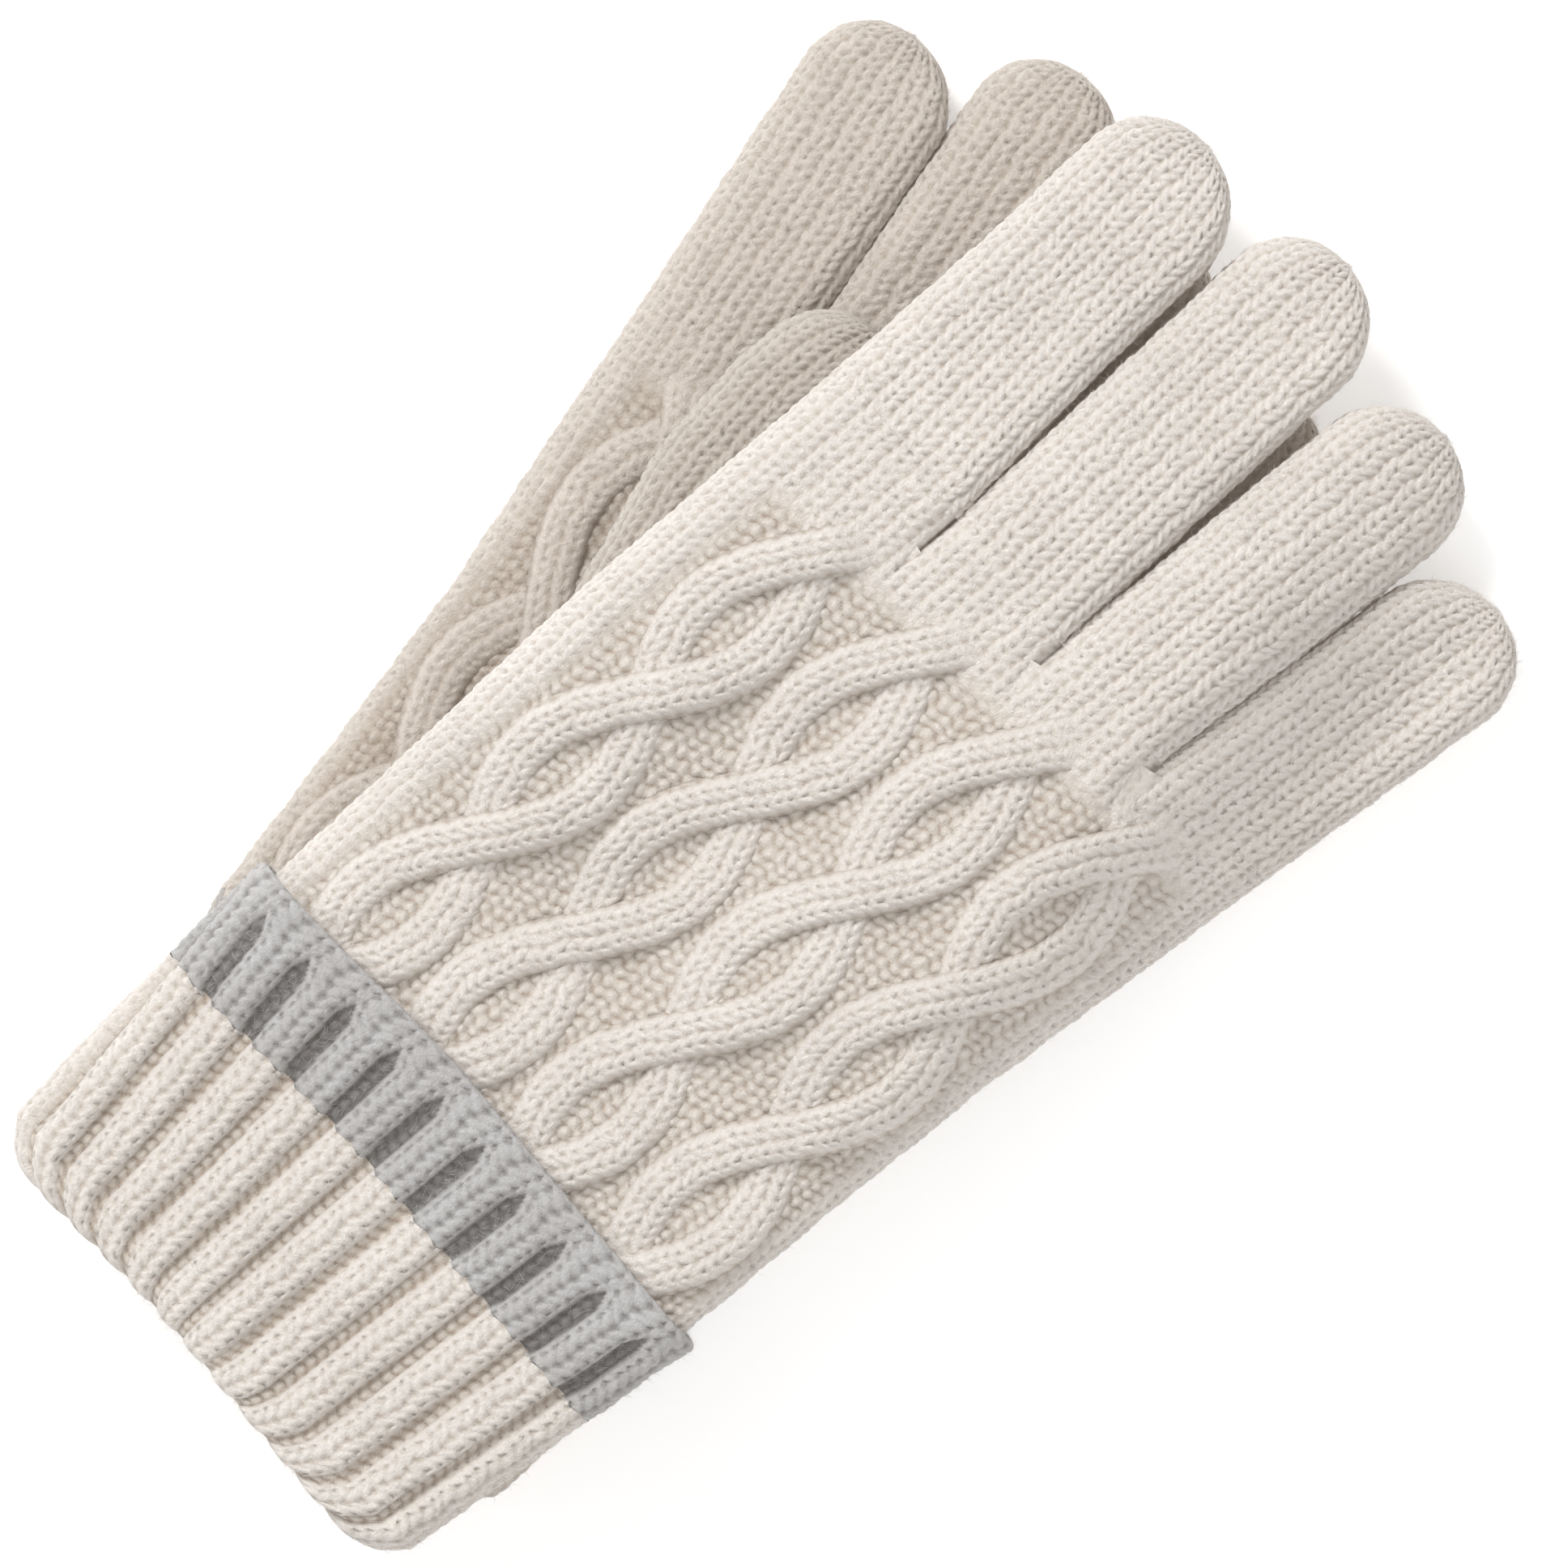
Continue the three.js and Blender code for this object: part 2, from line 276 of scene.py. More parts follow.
def fibres(side, grid, uv, count):
    """Loose hairs of the yarn: short curved ribbons rooted in random places of a grid."""
    n, m = grid.shape[:2]
    i, j = RNG.integers(1, n - 1, count), RNG.integers(1, m - 1, count)
    root = grid[i, j]
    ahead, aside = grid[i + 1, j] - grid[i - 1, j], grid[i, j + 1] - grid[i, j - 1]
    out = np.cross(aside, ahead) * (-1 if side == "left" else 1)
    out /= np.linalg.norm(out, axis=1, keepdims=True) + 1e-12
    turn = RNG.normal(0, 0.8, (count, 1))
    ahead /= np.linalg.norm(ahead, axis=1, keepdims=True) + 1e-12
    cross = np.cross(out, ahead)
    run = ahead * np.cos(turn) + cross * np.sin(turn)
    width = np.cross(out, run)
    length = RNG.uniform(*FIBRE_LENGTH, (count, 1))
    rise, bow = RNG.uniform(*FIBRE_RISE, (count, 1)), RNG.normal(0, 0.25, (count, 1))
    rows = []
    for t, thick in ((-0.1, 1.0), (0.5, 0.8), (1.0, 0.25)):
        spine = root + run * length * t + width * length * bow * t * t + out * rise * t
        spine[:, 2] = np.maximum(spine[:, 2], FLOOR_TOUCH / 1000)
        half = width * FIBRE_WIDTH / 2 * thick
        rows += [spine - half, spine + half]
    points = np.stack(rows, 1)
    first = np.arange(count)[:, None] * 6
    quads = np.concatenate([first + [0, 1, 3, 2], first + [2, 3, 5, 4]])
    return points.reshape(-1, 3), quads, np.repeat(uv[i, j], 6, axis=0)


def grid_mesh(name, side, patches, slot, shaded=False, hairs=0):
    """patches: list of (points[n, m, 3] in the glove frame, painted shade per point[n, m], low in
    the hollows).
    """
    verts, faces, cav, uvs = [], [], [], []
    base = 0
    count = len(patches)
    for k, (points, depth) in enumerate(patches):
        n, m = depth.shape
        grid = place(side, points)
        verts.append(grid.reshape(-1, 3))
        cav.append(depth.reshape(-1))
        idx = base + np.arange(n * m).reshape(n, m)
        quad = np.stack([idx[:-1, :-1], idx[:-1, 1:], idx[1:, 1:], idx[1:, :-1]], -1)
        if side == "left":
            quad = quad[..., ::-1]
        faces.append(quad.reshape(-1, 4))
        u = (np.arange(m) / (m - 1) * 0.98 + 0.01 + k) / count
        v = np.arange(n) / (n - 1) * 0.98 + 0.01
        uv = np.stack(np.broadcast_arrays(u[None, :], v[:, None]), -1)
        uvs.append(uv.reshape(-1, 2))
        base += n * m
        if hairs:
            extra, quads, hair_uv = fibres(side, grid, uv, hairs // count)
            verts.append(extra)
            faces.append(quads + base)
            cav.append(np.ones(len(extra)))
            uvs.append(hair_uv)
            base += len(extra)
    verts, faces = np.concatenate(verts), np.concatenate(faces)
    mesh = bpy.data.meshes.new(name)
    mesh.vertices.add(len(verts))
    mesh.vertices.foreach_set("co", verts.astype(np.float32).ravel())
    mesh.loops.add(faces.size)
    mesh.loops.foreach_set("vertex_index", faces.astype(np.int32).ravel())
    mesh.polygons.add(len(faces))
    mesh.polygons.foreach_set("loop_start", (np.arange(len(faces)) * 4).astype(np.int32))
    mesh.polygons.foreach_set("loop_total", np.full(len(faces), 4, np.int32))
    mesh.polygons.foreach_set("use_smooth", np.ones(len(faces), bool))
    mesh.update(calc_edges=True)
    layer = mesh.uv_layers.new(name="OFBake")
    layer.data.foreach_set("uv", np.concatenate(uvs)[faces.ravel()].astype(np.float32).ravel())
    # painted shade per point, darkest in the hollows of the stitches
    shade = mesh.attributes.new("cavity_shade", "FLOAT", "POINT")
    shade.data.foreach_set("value", np.concatenate(cav).astype(np.float32))
    mesh.validate()
    # shaded pieces and the lower glove take materials with painted shade
    mesh.materials.append(LOOKS["tucked" if shaded else side][slot])
    piece = bpy.data.objects.new(name, mesh)
    bpy.context.scene.collection.objects.link(piece)
    return piece


def surface(x, y, z, nx, nz, height, lift):
    """Displaces section points outwards and lifts them to where the glove lies."""
    px = x + nx * height
    return np.stack([px, y, z + nz * height + lift(x, y)], -1)


def around(front_step, back_step, half_length, split):
    """Samples of tau from palm centre by the left to palm centre: denser on the front."""
    front = np.linspace(-split, split, int(2 * split * half_length / front_step) + 1)
    back = np.linspace(split, 1.0, int((1 - split) * half_length / back_step) + 1)[1:]
    return np.concatenate([-back[::-1], front, back])


# ---- the hand -------------------------------------------------------------------
CABLES = (-32.6, -10.5, 11.7, 34.4)
CABLE_PERIOD = 34.8
CABLE_FIRST = 159.4             # crossing nearest the fingers, at the hand's middle
CABLE_END = 163.0
SWING = 6.5
SEAL = CROTCH + 0.65            # the hand's tube is closed here, between the fingers
HAND_FIRST = 57.0               # the hand starts out of sight, under the grey band
HAND_LAST = CROTCH + 0.6
HAND_HALF_ROUND = 108           # from its top centre to its palm centre
BACK_SHARE = 0.52               # share of that which belongs to the back of the hand
PURL_SINK = 0.9
PARTING = 160.0                 # the fingers begin to part in the hand from here on
GUTTER_DEPTH = 3.5
GUTTER_SHADE = 0.35
PLAIN_EDGES = ((-46.0, -43.4), (44.6, 47.0))    # plain strips down the hand's two sides
STRAND = 8.6
SKEW = 0.10
STRAND_OVER = 1.05              # how far the upper strand stands above a crossing
STRAND_CROWN = (2.6, 1.35)      # height of a strand's rounded back, and how deep it starts
STRAND_RELIEF = 0.7
STRAND_FIRST = 56.0             # the strands start under the grey band
STRAND_BURIED = -1.0            # height at which a strand is out of sight
TUCK = (57.0, 65.0)             # and this is where they come out from under it
# the lower cables are lower, so that the upper thumb can swing across them
PRESSED = {"right": 1.0, "left": 0.82}


def finger_profile(x):
    """Half thickness of the four fingers side by side where they leave the hand."""
    out = np.zeros_like(x)
    for base, half_width, *_ in FINGERS.values():
        beyond = np.clip((np.abs(x - base) - (half_width - FINGER_HALF)) / FINGER_HALF, 0, 1)
        out = np.maximum(out, FINGER_HALF * (1 - beyond ** 2) ** (SQUARE / 2))
    return out


def knit_top(x, y):
    """1 where the back of the hand is plain knit face, 0 where it is purl ground."""
    plain = ease(CABLE_END - 4.0, CABLE_END + 1.5, y - SKEW * x)
    sides = np.maximum(1 - ease(*PLAIN_EDGES[0], x), ease(*PLAIN_EDGES[1], x))
    return np.maximum(plain, sides)


def hand_patch(side, tau, ys):
    tau, y = np.meshgrid(tau, ys)
    flat = flat_half(y, tau)
    full = 2 * flat + math.pi * HAND_HALF
    x, z, nx, nz = ring(tau * full, flat, HAND_HALF, SQUARE)
    crotch = ease(PARTING, CROTCH, y)
    z = lerp(z, np.sign(nz) * np.minimum(finger_profile(x), np.abs(z) + 0.2), crotch)
    a, b = wobble(tau * HAND_WALES, y / COURSE)
    knit = stitches(a, b)
    purl = sample(PURL, a, b) * (PLUMP[0] + PLUMP[1] * uneven(a, b))
    plain = np.where(nz < 0.05, 1.0, knit_top(x, y))
    height = lerp(purl - PURL_SINK, knit * RELIEF - SINK, plain)
    # painted shade: dark in the purl's troughs and the stitches' hollows, and darker between the
    # fingers
    cavity_shade = lerp(np.clip(purl, 0, 1) * 0.80 - 0.04, stitch_shade(knit, a, b), plain)
    gutter = np.clip(finger_profile(x) / GUTTER_DEPTH, 0, 1)
    cavity_shade = cavity_shade * lerp(1.0, lerp(GUTTER_SHADE, 1.0, gutter), crotch)
    sealed = y > SEAL - 0.01
    z, height = np.where(sealed, 0.0, z), np.where(sealed, 0.0, height)
    return surface(x, y, z, nx, nz, height, lambda px, py: hand_lift(side, px, py)), cavity_shade


def hand_pieces(side, fine):
    """The back of the hand, finely sampled, and the palm."""
    edge = BACK_SHARE
    ys = np.linspace(HAND_FIRST, HAND_LAST, int(120 / (0.37 * fine)))
    across = np.linspace(-edge, edge, int(2 * edge * HAND_HALF_ROUND / (0.42 * fine)))
    back = hand_patch(side, across, np.append(ys, SEAL))
    rest = np.linspace(edge, 1.0, int((1 - edge) * HAND_HALF_ROUND / (0.75 * fine)))
    palm = [hand_patch(side, tau, np.append(ys[::2], SEAL)) for tau in (-rest[::-1], rest)]
    return (grid_mesh(f"{side}_hand_knit", side, [back], "cream_knit",
                      hairs=int(HAIRS["hand"] / fine)),
            grid_mesh(f"{side}_palm_knit", side, palm, "cream_knit"))


def strand_patch(side, centre, phase, fine):
    """One strand of a rope cable: phase +1 crosses on top at the first crossing."""
    across = np.linspace(-1, 1, int(STRAND / (0.30 * fine)))
    ys = np.linspace(STRAND_FIRST, CABLE_END + 9.0, int(116 / (0.30 * fine)))
    c, v = np.meshgrid(across, ys)
    merge = ease(CABLE_END - 3.0, CABLE_END + 8.0, v)
    angle = math.pi * (v - CABLE_FIRST) / CABLE_PERIOD
    mid = centre + phase * SWING * np.sin(angle)
    slope = phase * SWING * math.pi / CABLE_PERIOD * np.cos(angle)
    lean = np.arctan(slope)
    reach = c * STRAND / 2 * (1 + 0.2 * merge)
    x = mid + reach * np.cos(lean)
    y = v - reach * np.sin(lean) + SKEW * x
    length = np.cumsum(np.concatenate([[0], np.diff(ys)]) * np.sqrt(1 + slope[:, 0] ** 2))
    a, b = wobble(c * 1.05, length[:, None] / COURSE + 40 * centre + 0 * c)
    knit = stitches(a, b)
    over = phase * STRAND_OVER * np.cos(angle)
    crown = STRAND_CROWN[0] * (1 - np.abs(c) ** 2.6) ** 0.6 - STRAND_CROWN[1]
    height = (crown + over + knit * STRAND_RELIEF) * PRESSED[side]
    height = lerp(height, STRAND_BURIED, merge)
    height = lerp(STRAND_BURIED, height, ease(*TUCK, y - cuff_skew(x)))
    shade = ease(1.15, 0.72, np.abs(c)) * ease(-2.0, 0.0, over + crown)
    cavity_shade = stitch_shade(knit, a, b) * lerp(shade, 1.0, merge)
    points = np.stack([x, y, HAND_HALF + height + hand_lift(side, x, y)], -1)
    return points, cavity_shade


def cable_piece(side, number, centre, fine):
    patches = [strand_patch(side, centre, phase, fine) for phase in (1, -1)]
    return grid_mesh(f"{side}_cable_{number}", side, patches, "cream_knit",
                     hairs=int(HAIRS["cable"] / fine))


# ---- fingers and thumb ----------------------------------------------------------
def digit_rows(start, tip, half_width, step, heel=0.0):
    """Distance and width factor along a digit, evenly spaced round its tip and its heel."""
    turn_from = tip - half_width
    shaft = np.arange(start, turn_from, step)
    bend = np.linspace(0, math.pi / 2, int(half_width * math.pi / 2 / step))
    ys = np.concatenate([shaft, turn_from + half_width * np.sin(bend)])
    width = np.concatenate([np.ones_like(shaft), np.maximum(np.cos(bend), 0.012)])
    if heel:
        bend = np.linspace(math.pi / 2, 0, int(heel / step))[:-1]
        ys = np.concatenate([start - heel * np.sin(bend), ys])
        width = np.concatenate([np.maximum(np.cos(bend), 0.012), width])
    run = np.concatenate([[0], np.cumsum(np.hypot(np.diff(ys), half_width * np.diff(width)))])
    return ys, width, start + run


def digit_patch(ys, factor, run, centre, half_width, half, lift, a_phase, wales, fine,
                sole=1.0):
    """The knit surface of a finger or a thumb; sole scales its thickness underneath."""
    mean = 2 * (np.max(half_width) - half) + math.pi * half
    tau = around(GRAIN * fine, COARSE * fine, mean, 0.56)
    tau, y = np.meshgrid(tau, ys)
    wide = (half_width * factor)[:, None]
    thick = np.minimum(half, wide) * np.ones_like(tau)
    flat = np.maximum(0, wide - thick)
    full = 2 * flat + math.pi * thick
    x, z, nx, nz = ring(tau * full, flat, thick, SQUARE)
    z = np.where(z < 0, sole * z, z)
    x = x + centre[:, None]
    a, b = wobble(tau * wales + a_phase, (run / COURSE)[:, None] + 0 * tau)
    knit = stitches(a, b)
    shrink = ease(0.0, 0.5, factor)[:, None]
    height = (knit * RELIEF - SINK) * shrink
    points = surface(x, y, z, nx, nz, height, lift)
    # painted shade in the stitches' hollows, darkening to half on the underside
    return points, stitch_shade(knit, a, b) * (0.5 + 0.5 * np.clip(nz + 1, 0, 1))


def finger_piece(side, name, fine):
    base, base_half, mid, mid_half, tip = (FINGERS if side == "right" else LOWER_FINGERS)[name]
    ys, factor, run = digit_rows(FINGER_START, tip, mid_half, GRAIN * fine)
    slope = (ys - CROTCH) / (FINGER_MID - CROTCH)
    centre = base + (mid - base) * slope
    half_width = base_half + (mid_half - base_half) * np.clip(slope, 0, 1)
    side_full = np.interp(CROTCH, FLAT_V, FLAT_THUMB if base < 0 else FLAT_OTHER)
    pitch = (2 * side_full + math.pi * HAND_HALF) / HAND_WALES
    wales = round((2 * (base_half - FINGER_HALF) + math.pi * FINGER_HALF) / pitch * 2) / 2
    patch = digit_patch(ys, factor, run, centre, half_width, FINGER_HALF,
                        lambda px, py: hand_lift(side, px, py), base / pitch, wales, fine)
    return grid_mesh(f"{side}_{name}_knit", side, [patch], "cream_knit",
                     hairs=int(HAIRS["finger"] / fine))


THUMB_V = [108, 119, 134, 147, 167, 186]
THUMB_X = [-35.5, -39.8, -44.9, -49.8, -53.0, -52.4]
THUMB_WIDE = 11.7               # half width
THUMB_BASE, THUMB_TIP, THUMB_HEEL = 110.0, 186.5, 9.0
THUMB_WALES = 7.5
# the upper thumb is thin underneath, so that it swings clear of the lower glove's cables
THUMB_SOLE = {"right": 0.42, "left": 1.0}
FINGER_START = CROTCH - 0.6


def thumb_piece(side, fine):
    half = THUMB_WIDE
    ys, factor, run = digit_rows(THUMB_BASE, THUMB_TIP, half, GRAIN * fine, heel=THUMB_HEEL)
    centre = np.interp(ys, THUMB_V, THUMB_X)
    kernel = np.hanning(41) / np.hanning(41).sum()
    centre = np.convolve(np.pad(centre, 20, mode="edge"), kernel, mode="valid")
    patch = digit_patch(ys, factor, run, centre, np.full_like(ys, half), THUMB_HALF,
                        lambda px, py: thumb_lift(side, px, py), 0.0, THUMB_WALES, fine,
                        sole=THUMB_SOLE[side])
    return grid_mesh(f"{side}_thumb_knit", side, [patch], "cream_knit", shaded=True,
                     hairs=int(HAIRS["thumb"] / fine))


# ---- the cuff -------------------------------------------------------------------
CUFF_HANG = 2.9                 # how much lower the cuff hangs on the thumb's side
RIB_CLOSE = (52.5, 59.0)        # where the grooves close, near the grey band's free edge
RIB_WIDTH = 0.38                # a ridge's half width as a share of the ridges' pitch
RIB_DEPTH = 2.1
LINING_RELIEF = -0.35           # inside the cuff the ridges show from behind, and flatter
GROOVE_RELIEF = 0.5
CUFF_HALF_ROUND = 106.0         # from its top centre to its palm centre
CUFF_SPLIT = 0.55               # share of that which is finely sampled
CUFF_ROW = 0.36                 # spacing of the mesh along and round the cuff
CUFF_UNDER = 0.6                # the same round its underside
CUFF_CORNER = 2.0               # how much the folded corners are drawn in
LEFT_NARROW = 3.0               # the lower cuff is narrower on the little finger's side
EDGE_ROUND = 1.4                # rounding of the grey band's free edge
STRIPE_SHADE = 0.4              # the grey band's grooves are darker than the cream ones


def cuff_skew(x):
    """The thumb side of the cuff hangs a little lower."""
    return -CUFF_HANG * ease(-4.0, -50.0, x)


def rib_profile(tau, y, width):
    """Ridge height and stitch coordinate of the rib; the ridges fan out from the fold."""
    side = np.where(tau < 0, 0.20, 0.05)
    fan = side * tau * ease(1.0, 0.5, np.abs(tau)) * np.clip(1 - y / CUFF_TOP, 0, 1)
    ridge = np.mod((tau + fan) * RIDGES + 0.5, 1.0) - 0.5
    bend = np.clip(ridge / width, -1, 1)
    closed = ease(*RIB_CLOSE, y)
    body = lerp(np.sqrt(1 - bend ** 2), 0.8, closed * 0.8)
    across = np.arcsin(bend) * 2 / math.pi
    return body, across


def ridge_width(y):
    """Share of a ridge's half pitch: narrow in the grey band, closed at its free edge."""
    grey = ease(STRIPE_START - 3, STRIPE_START + 4, y) * (1 - ease(52.0, 58.5, y))
    return RIB_WIDTH - 0.03 * grey + 0.18 * ease(*RIB_CLOSE, y)


def rib_patch(side, tau, half, y, base_y):
    """A ribbed tube: half[n] is its half thickness and y[n] its distance, row by row."""
    tau, yy = np.meshgrid(tau, y)
    hh = half[:, None] * np.ones_like(tau)
    flat = flat_half(np.maximum(yy - base_y * ease(40, 0, yy), 0), tau)
    corner = CUFF_CORNER * np.clip(1 - (yy - base_y) / 7.0, 0, 1) ** 2
    flat = flat - corner - np.where((tau > 0) & (side == "left"), LEFT_NARROW, 0.0)
    x, z, nx, nz = ring(tau * (2 * flat + math.pi * hh), flat, hh)
    run = np.concatenate([[0], np.cumsum(np.hypot(np.diff(y), np.diff(half)))])
    body, across = rib_profile(tau, yy, ridge_width(yy))
    course = -(run / COURSE)[:, None] + 0 * tau
    a, b = wobble(across, course)
    a = a + 7 * np.round(tau * RIDGES)      # so that no two ridges vary alike
    knit = stitches(a, b)
    purl = sample(PURL, tau * HAND_WALES, course)
    groove = ease(0.3, 0.0, body)
    relief = RIB_DEPTH * lerp(0.3, 1.0, ease(base_y - 1.0, base_y + 9.0, yy))
    height = relief * (body - 1) + 0.4 + lerp(knit * RELIEF, purl * GROOVE_RELIEF, groove)
    # painted shade in the stitches' hollows, darker down in the grooves
    cavity_shade = lerp(stitch_shade(knit, a, b) * ease(-0.4, 0.45, body), (purl - 0.1) * 0.5, groove)
    zigzag = np.abs(2 * np.mod(across, 1.0) - 1) - 0.5
    yy = yy + 0.6 * zigzag * np.exp(-np.abs(yy - STRIPE_START) / 1.6)
    return x, yy, z, nx, nz, height, cavity_shade, body


def cuff_profile(base_y, top):
    """Rows from inside the mouth, round the folded lip and up the outside."""
    lip = (CUFF_HALF - LINING_HALF) / 2
    mid = (CUFF_HALF + LINING_HALF) / 2
    turn = np.linspace(-math.pi / 2, math.pi / 2, 18)
    inside = np.linspace(base_y + 6.0, base_y + lip, 10)[:-1]
    outside = np.arange(base_y + lip, top, CUFF_ROW)[1:]
    half = np.concatenate([np.full_like(inside, LINING_HALF), mid + lip * np.sin(turn),
                           np.full_like(outside, CUFF_HALF)])
    y = np.concatenate([inside, base_y + lip - lip * np.cos(turn), outside, [top]])
    return np.append(half, CUFF_HALF), y


def cuff_piece(side, fine):
    base_y = FOLD[side]
    half, y = cuff_profile(base_y, STRIPE_START)
    tau = around(CUFF_ROW * fine, CUFF_UNDER * fine, CUFF_HALF_ROUND, CUFF_SPLIT)
    x, yy, z, nx, nz, height, cavity_shade, body = rib_patch(side, tau, half, y, base_y)
    outer = ease(LINING_HALF, CUFF_HALF, half)[:, None]
    height = height * lerp(LINING_RELIEF, 1.0, outer)
    scallop = 1.3 * (1 - body) * np.exp(-np.clip(yy - base_y, 0, None) / 2.5) * outer
    yy = yy + scallop + cuff_skew(x)
    points = surface(x, yy, z, nx, nz, height, lambda px, py: cuff_lift(side, px, py))
    return grid_mesh(f"{side}_cuff_knit", side, [(points, cavity_shade)], "cream_rib",
                     hairs=int(HAIRS["cuff"] / fine))


def stripe_piece(side, fine):
    rise = np.arange(STRIPE_START, CUFF_TOP - EDGE_ROUND, CUFF_ROW)
    turn = np.linspace(0, math.pi * 0.8, 14)
    shut = CUFF_HALF - 1.2          # the first row closes the gap between band and cuff
    shaft = CUFF_HALF + PROUD * ease(0.0, 3.0, rise - STRIPE_START)
    edge = CUFF_HALF + PROUD - 1.3 + 1.3 * np.cos(turn)
    half = np.concatenate([[shut], shaft, edge])
    y = np.concatenate([[STRIPE_START - 0.1], rise,
                        CUFF_TOP - EDGE_ROUND + EDGE_ROUND * np.sin(turn)])
    tau = around(CUFF_ROW * fine, CUFF_UNDER * fine, CUFF_HALF_ROUND, CUFF_SPLIT)
    x, yy, z, nx, nz, height, cavity_shade, body = rib_patch(side, tau, half, y, FOLD[side])
    yy = yy + cuff_skew(x)
    cavity_shade = cavity_shade * lerp(STRIPE_SHADE, 1.0, ease(0.0, 0.5, body))
    points = surface(x, yy, z, nx, nz, height, lambda px, py: cuff_lift(side, px, py))
    return grid_mesh(f"{side}_stripe_knit", side, [(points, cavity_shade)], "grey_rib",
                     hairs=int(HAIRS["stripe"] / fine))


def lining_piece(side):
    """The wrist rib seen inside the mouth of the cuff."""
    base_y = FOLD[side]
    y = np.arange(base_y + 5.0, 64.0, 0.8)
    half = np.full_like(y, LINING_HALF)
    tau = around(0.8, 0.8, CUFF_HALF_ROUND, 0.5)
    x, yy, z, nx, nz, height, cavity_shade, _ = rib_patch(side, tau, half, y, base_y)
    points = surface(x, yy + cuff_skew(x), z, nx, nz, LINING_RELIEF * height,
                     lambda px, py: cuff_lift(side, px, py))
    return grid_mesh(f"{side}_wrist_lining", side, [(points[:, ::-1], cavity_shade[:, ::-1])],
                     "cream_rib")


# ---- materials ------------------------------------------------------------------
FIBRE_NOISE = (3800.0, 4.0)     # scale and detail
TUFT_NOISE = (1100.0, 4.0)
BLOTCH_NOISE = (60.0, 3.0)
# the emission paints a faint warm glow onto the yarn
YARN_SURFACE_AND_GLOW = {
    "Roughness": 0.92, "Specular IOR Level": 0.22, "Sheen Weight": 0.35,
    "Sheen Roughness": 0.6, "Emission Color": (0.95, 0.78, 0.64, 1), "Emission Strength": 0.045,
}


def yarn(name, groove_shade_colour, mid_colour, high_colour, marl):
    """Coloured by how deep a point lies in its stitch, as painted shade in the hollows, mottled
    by noise; marl is how much.
    """
    mat = bpy.data.materials.new(name)
    mat.use_nodes = True
    nodes, links = mat.node_tree.nodes, mat.node_tree.links
    shader = nodes["Principled BSDF"]
    for socket, value in YARN_SURFACE_AND_GLOW.items():
        shader.inputs[socket].default_value = value
    where = nodes.new("ShaderNodeTexCoord")
    cavity_shade = nodes.new("ShaderNodeAttribute")
    cavity_shade.attribute_name = "cavity_shade"

    stretch = nodes.new("ShaderNodeMapping")
    stretch.inputs["Scale"].default_value = (1.0, 0.3, 1.0)
    links.new(where.outputs["Object"], stretch.inputs["Vector"])

    def noise(scale_detail, source):
        node = nodes.new("ShaderNodeTexNoise")
        node.inputs["Scale"].default_value, node.inputs["Detail"].default_value = scale_detail
        node.inputs["Roughness"].default_value = 0.7
        node.inputs["Distortion"].default_value = 0.6
        links.new(source, node.inputs["Vector"])
        return node.outputs["Fac"]

    def scaled(source, factor, added=None):
        """source * factor, plus another output if one is given."""
        node = nodes.new("ShaderNodeMath")
        node.operation = "MULTIPLY_ADD" if added else "MULTIPLY"
        node.inputs[1].default_value = factor
        links.new(source, node.inputs[0])
        if added:
            links.new(added, node.inputs[2])
        return node.outputs[0]

    def ramp(source, *stops):
        """stops: (position, colour) in rising order, at least two."""
        node = nodes.new("ShaderNodeValToRGB")
        elements = node.color_ramp.elements
        elements[0].position, elements[-1].position = stops[0][0], stops[-1][0]
        elements[0].color, elements[-1].color = (*stops[0][1], 1), (*stops[-1][1], 1)
        for position, colour in stops[1:-1]:
            elements.new(position).color = (*colour, 1)
        links.new(source, node.inputs["Fac"])
        return node.outputs["Color"]

    fibre = noise(FIBRE_NOISE, stretch.outputs["Vector"])
    blotch = noise(BLOTCH_NOISE, where.outputs["Object"])
    tufts = noise(TUFT_NOISE, where.outputs["Object"])
    # painted shade: the ramp darkens the yarn where it lies deep
    depth = scaled(tufts, 0.30, cavity_shade.outputs["Fac"])
    mottle = scaled(fibre, 0.6, scaled(blotch, 0.4))
    tint = nodes.new("ShaderNodeMixRGB")
    tint.blend_type = "MULTIPLY"
    tint.inputs["Fac"].default_value = 1.0
    links.new(ramp(depth, (0.10, groove_shade_colour), (0.48, mid_colour), (0.95, high_colour)),
              tint.inputs["Color1"])
    dark = tuple(1 - marl * k for k in (0.9, 1.0, 1.1))
    links.new(ramp(mottle, (0.30, dark), (0.68, (1, 1, 1))), tint.inputs["Color2"])
    links.new(tint.outputs["Color"], shader.inputs["Base Color"])
    bump = nodes.new("ShaderNodeBump")
    bump.inputs["Strength"].default_value = 0.8
    bump.inputs["Distance"].default_value = 0.0005
    links.new(scaled(tufts, 1.6, fibre), bump.inputs["Height"])
    links.new(bump.outputs["Normal"], shader.inputs["Normal"])
    return mat


# colours are for the bottom of a groove (painted shade), the flank and the top of a strand of
# yarn
YARNS = {
    "cream_knit": ((0.36, 0.27, 0.19), (0.73, 0.665, 0.595), (0.88, 0.835, 0.785), 0.20),
    "cream_rib": ((0.33, 0.245, 0.175), (0.73, 0.665, 0.595), (0.88, 0.835, 0.785), 0.20),
    "grey_rib": ((0.06, 0.056, 0.056), (0.37, 0.37, 0.373), (0.60, 0.605, 0.61), 0.34),
}
SHADED = (0.80, 0.77, 0.74)     # painted shade: the lower glove is darkened as if it lay in shadow
TUCKED_SHADE = (0.73, 0.705, 0.675)   # and the tucked thumbs are painted darker still


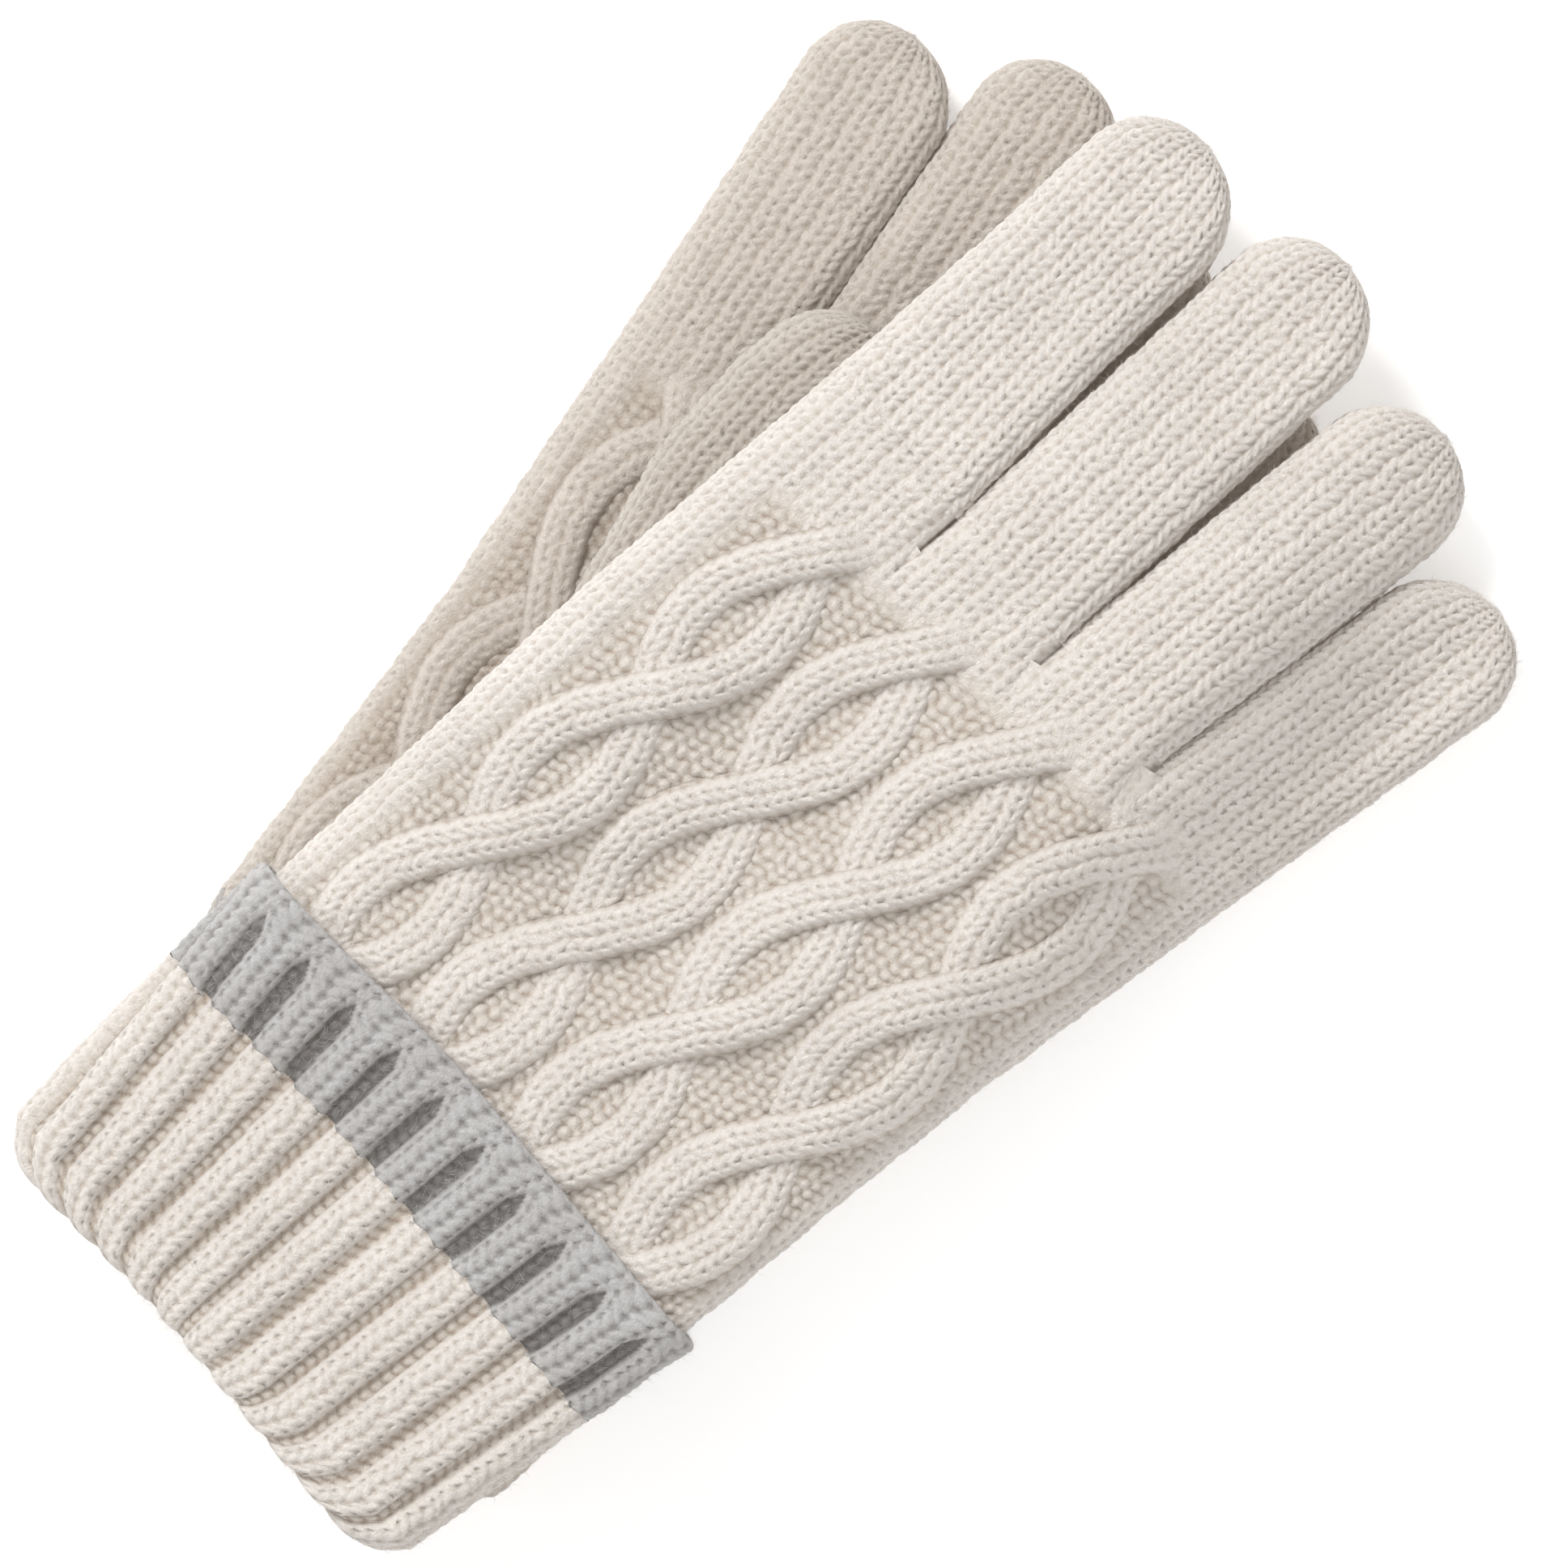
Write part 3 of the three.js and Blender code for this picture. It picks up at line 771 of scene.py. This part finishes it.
def yarns(suffix, painted_shade):
    """One material per kind of yarn, its colours multiplied by tone: painted shade for the lower
    glove and the tucked thumbs.
    """
    return {kind: yarn(f"{kind}_{suffix}", *(tuple(c * t for c, t in zip(colour, painted_shade))
                                             for colour in colours[:3]), colours[3])
            for kind, colours in YARNS.items()}


# the lower glove and the tucked thumbs take materials with painted shade
LOOKS = {"right": yarns("upper", (1, 1, 1)), "left": yarns("lower", SHADED),
         "tucked": yarns("tucked", TUCKED_SHADE)}

# ---- build ----------------------------------------------------------------------
JOINTED = {"right": ("index", "middle", "ring", "little"), "left": ("ring", "little")}


for side, fine in FINE.items():
    body = f"{side}_glove"
    hand, palm = hand_pieces(side, fine)
    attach(hand, body)
    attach(palm, body)
    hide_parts(f"{side}_hand")
    for number, centre in enumerate(CABLES, 1):
        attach(cable_piece(side, number, centre, fine), body)
    for name in FINGERS:
        finger = finger_piece(side, name, fine)
        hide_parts(f"{side}_{name}_finger")
        if name in JOINTED[side]:
            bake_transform(finger)
        else:
            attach(finger, body)
    thumb = thumb_piece(side, fine)
    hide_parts(f"{side}_thumb")
    if side == "right":
        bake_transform(thumb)
    else:
        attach(thumb, body)
    cuff, stripe, lining = cuff_piece(side, fine), stripe_piece(side, fine), lining_piece(side)
    for piece, node in ((cuff, "turned_up_cuff"), (stripe, "cuff_stripe"), (lining, "wrist_rib")):
        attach(piece, body)
        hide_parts(f"{side}_{node}")

# ---- floor, light, camera -------------------------------------------------------
floor_mesh = bpy.data.meshes.new("floor")
floor_mesh.from_pydata([(-3, -3, 0), (3, -3, 0), (3, 3, 0), (-3, 3, 0)], [], [(0, 1, 2, 3)])
floor = bpy.data.objects.new("floor", floor_mesh)
bpy.context.scene.collection.objects.link(floor)
paper = bpy.data.materials.new("paper")
paper.use_nodes = True
for socket, value in (("Base Color", (0.93, 0.93, 0.93, 1)), ("Roughness", 0.9),
                      ("Emission Color", (1, 1, 1, 1)), ("Emission Strength", 0.34)):
    paper.node_tree.nodes["Principled BSDF"].inputs[socket].default_value = value
floor_mesh.materials.append(paper)

bpy.context.scene.view_settings.view_transform = "Standard"
world = bpy.data.worlds.new("studio")
world.use_nodes = True
world.node_tree.nodes["Background"].inputs["Color"].default_value = (1, 0.99, 0.98, 1)
world.node_tree.nodes["Background"].inputs["Strength"].default_value = 0.62
bpy.context.scene.world = world


def area_light(name, position, size, power):
    lamp = bpy.data.lights.new(name, "AREA")
    lamp.shape = "SQUARE"
    lamp.size = size
    lamp.energy = power
    obj = bpy.data.objects.new(name, lamp)
    bpy.context.scene.collection.objects.link(obj)
    obj.location = position
    toward = -np.array(position)
    yaw = math.atan2(toward[1], toward[0]) - math.pi / 2
    pitch = math.atan2(math.hypot(toward[0], toward[1]), -toward[2])
    obj.rotation_euler = (pitch, 0, yaw)


area_light("key", (-1.1, 0.15, 1.1), 0.6, 19.0)
area_light("fill", (0.6, -0.5, 1.2), 1.2, 4.0)

camera = bpy.data.cameras.new("camera")
camera.lens = 200.0
camera.sensor_width = 36.0
camera.sensor_fit = "AUTO"
view = bpy.data.objects.new("camera", camera)
bpy.context.scene.collection.objects.link(view)
LONG_SIDE = 0.2469              # length that the picture's long side covers
middle = (OFF_X - 9.7) / 1000, (OFF_Y + 127.3) / 1000
view.location = (*middle, 0.03 + LONG_SIDE * camera.lens / camera.sensor_width)
view.rotation_euler = (0, 0, math.radians(50))
bpy.context.scene.camera = view
